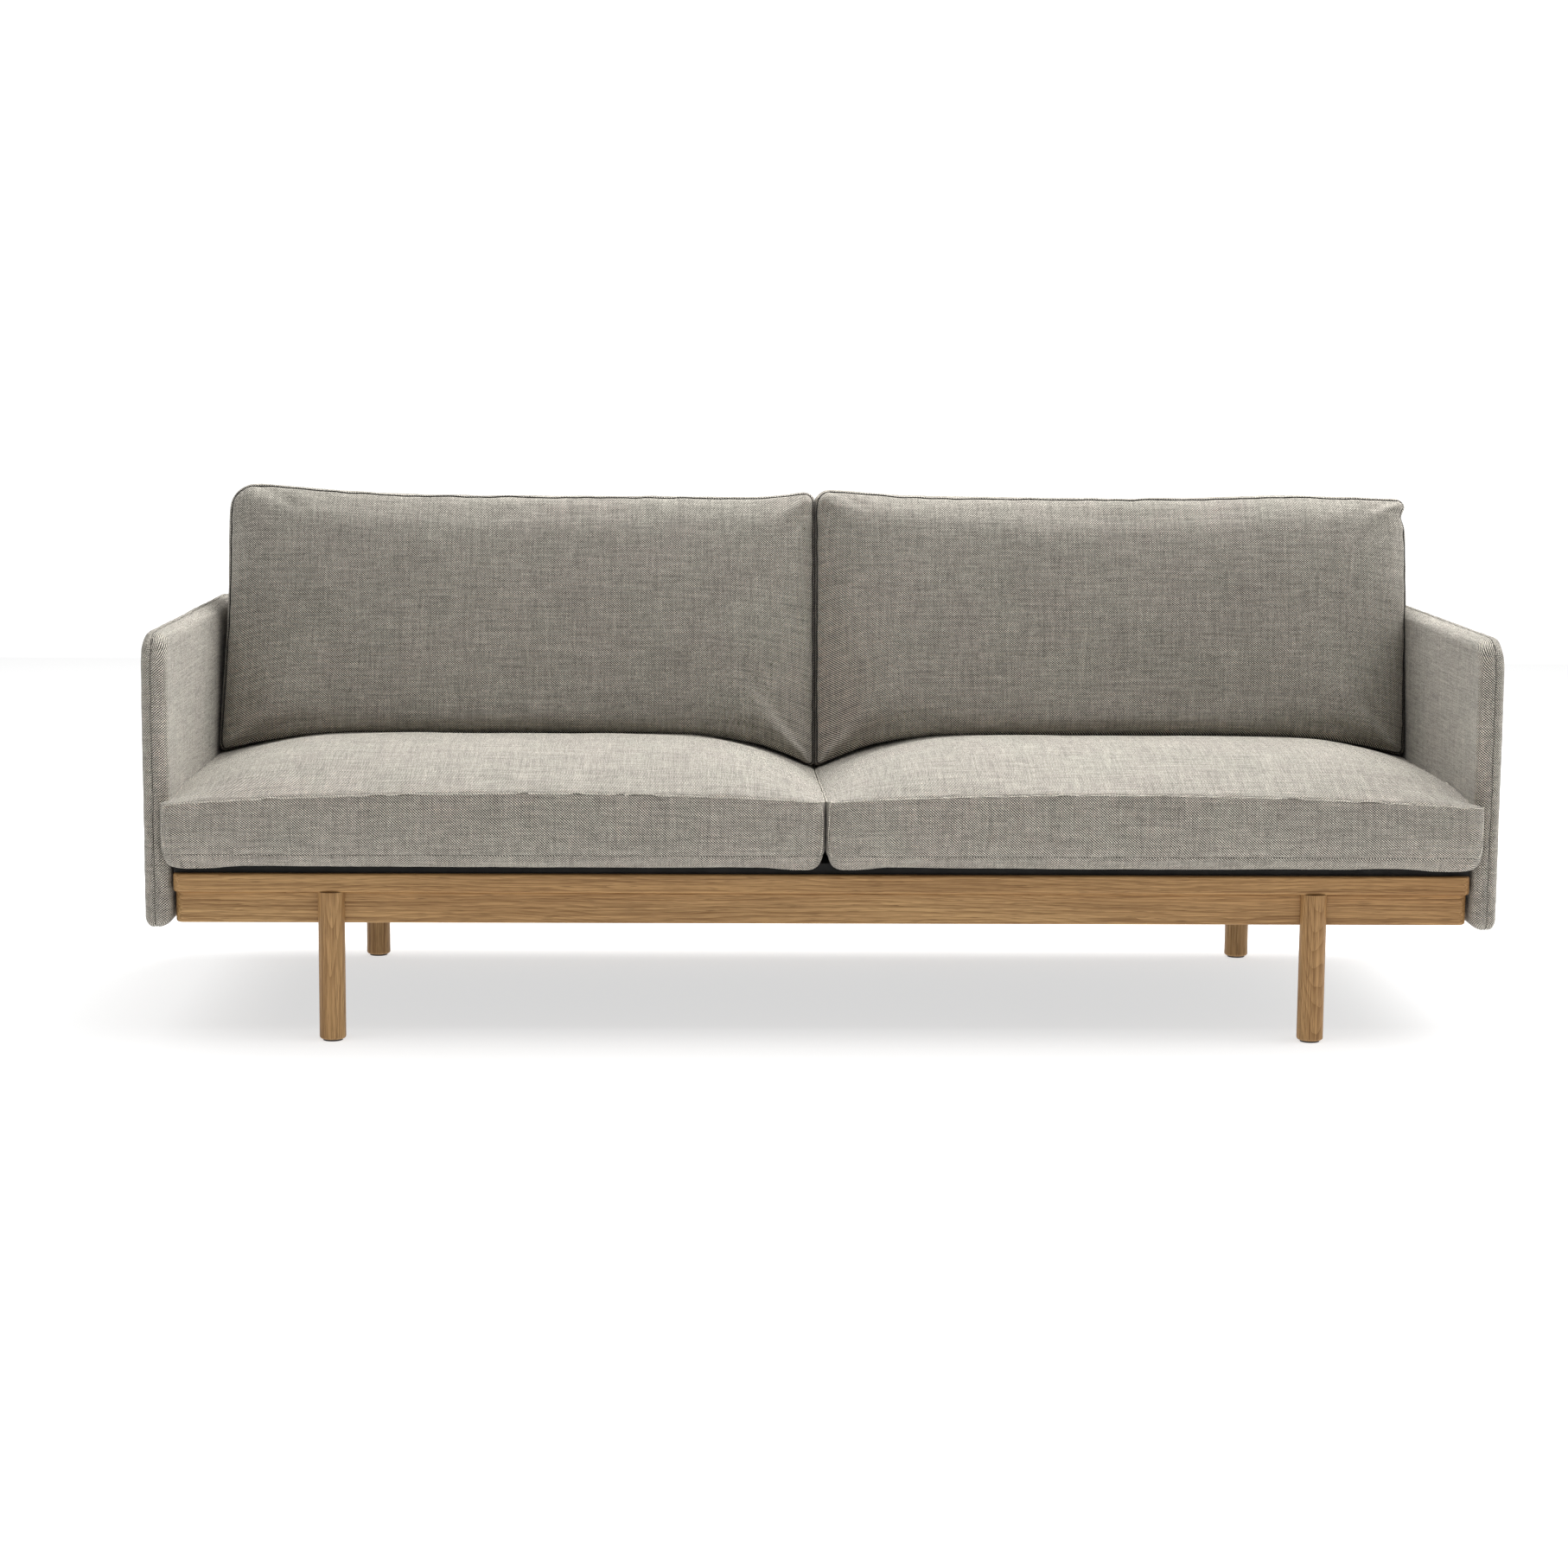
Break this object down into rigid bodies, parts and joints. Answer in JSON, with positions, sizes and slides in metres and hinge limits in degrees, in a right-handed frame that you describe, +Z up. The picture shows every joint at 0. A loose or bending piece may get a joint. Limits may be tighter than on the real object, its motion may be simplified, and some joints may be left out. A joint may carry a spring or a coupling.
{
  "type": "sofa",
  "caption": "Wide sofa with round wooden legs, a stepped oak base rail, thin padded arm and back panels, and loose seat and back cushions.",
  "frame": {"origin": "middle of the footprint, at the level of the leg glides", "axes": "+X to the right along the width as seen from the front, +Y to the rear, +Z up"},
  "size_m": [2.2, 0.9, 0.8662],
  "materials": {
    "oak": "oiled natural oak, satin, straight grain",
    "beech": "planed beech, unfinished",
    "plywood": "birch plywood, unfinished",
    "foam": "open-cell foam",
    "fibre": "polyester fibre wadding",
    "black_cloth": "black non-woven cloth, matte",
    "webbing": "woven elastic webbing",
    "cover_fabric": "grey-beige two-tone basket weave with slubs",
    "closure": "nylon zip and hook-and-loop",
    "glide": "dark nylon",
    "steel": "zinc plated steel"
  },
  "bodies": {
    "sofa": {"arm_bolts": "steel", "arm_spacers": "glide", "back_bolts": "steel", "back_brackets": "steel", "back_panel_board": "plywood", "back_panel_cover": "cover_fabric", "back_panel_padding": "foam", "bracket_screws": "steel", "centre_bearer": "beech", "corner_blocks": "beech", "corner_bolts": "steel", "cover_closures": "closure", "dust_cloth": "black_cloth", "frame_dowels": "beech", "front_left_leg": "oak", "front_lower_rail": "oak", "front_right_leg": "oak", "front_top_rail": "oak", "left_arm_board": "plywood", "left_arm_cover": "cover_fabric", "left_arm_padding": "foam", "left_bearer": "beech", "left_lower_rail": "oak", "left_top_rail": "oak", "leg_bolts": "steel", "leg_glides": "glide", "leg_inserts": "steel", "panel_nuts": "steel", "platform_centre_bar": "beech", "platform_cloth": "black_cloth", "platform_front_bar": "beech", "platform_left_bar": "beech", "platform_rear_bar": "beech", "platform_right_bar": "beech", "platform_screws": "steel", "rear_left_leg": "oak", "rear_lower_rail": "oak", "rear_right_leg": "oak", "rear_top_rail": "oak", "right_arm_board": "plywood", "right_arm_cover": "cover_fabric", "right_arm_padding": "foam", "right_bearer": "beech", "right_lower_rail": "oak", "right_top_rail": "oak", "webbing_straps": "webbing"},
    "left_seat_cushion": {"left_seat_cushion_core": "foam", "left_seat_cushion_cover": "cover_fabric", "left_seat_cushion_wrap": "fibre", "left_seat_cushion_zip": "closure"},
    "left_back_cushion": {"left_back_cushion_cover": "cover_fabric", "left_back_cushion_filling": "fibre", "left_back_cushion_zip": "closure"},
    "right_seat_cushion": {"right_seat_cushion_core": "foam", "right_seat_cushion_cover": "cover_fabric", "right_seat_cushion_wrap": "fibre", "right_seat_cushion_zip": "closure"},
    "right_back_cushion": {"right_back_cushion_cover": "cover_fabric", "right_back_cushion_filling": "fibre", "right_back_cushion_zip": "closure"}
  },
  "joints": [
    {"name": "left_seat_pull_out", "type": "slide", "parent": "sofa", "child": "left_seat_cushion", "axis": [0, -1, 0], "range_m": [0, 0.86]},
    {"name": "left_back_lift_off", "type": "slide", "parent": "sofa", "child": "left_back_cushion", "axis": [0, 0, 1], "range_m": [0, 0.32]},
    {"name": "right_seat_pull_out", "type": "slide", "parent": "sofa", "child": "right_seat_cushion", "axis": [0, -1, 0], "range_m": [0, 0.86]},
    {"name": "right_back_lift_off", "type": "slide", "parent": "sofa", "child": "right_back_cushion", "axis": [0, 0, 1], "range_m": [0, 0.32]}
  ]
}
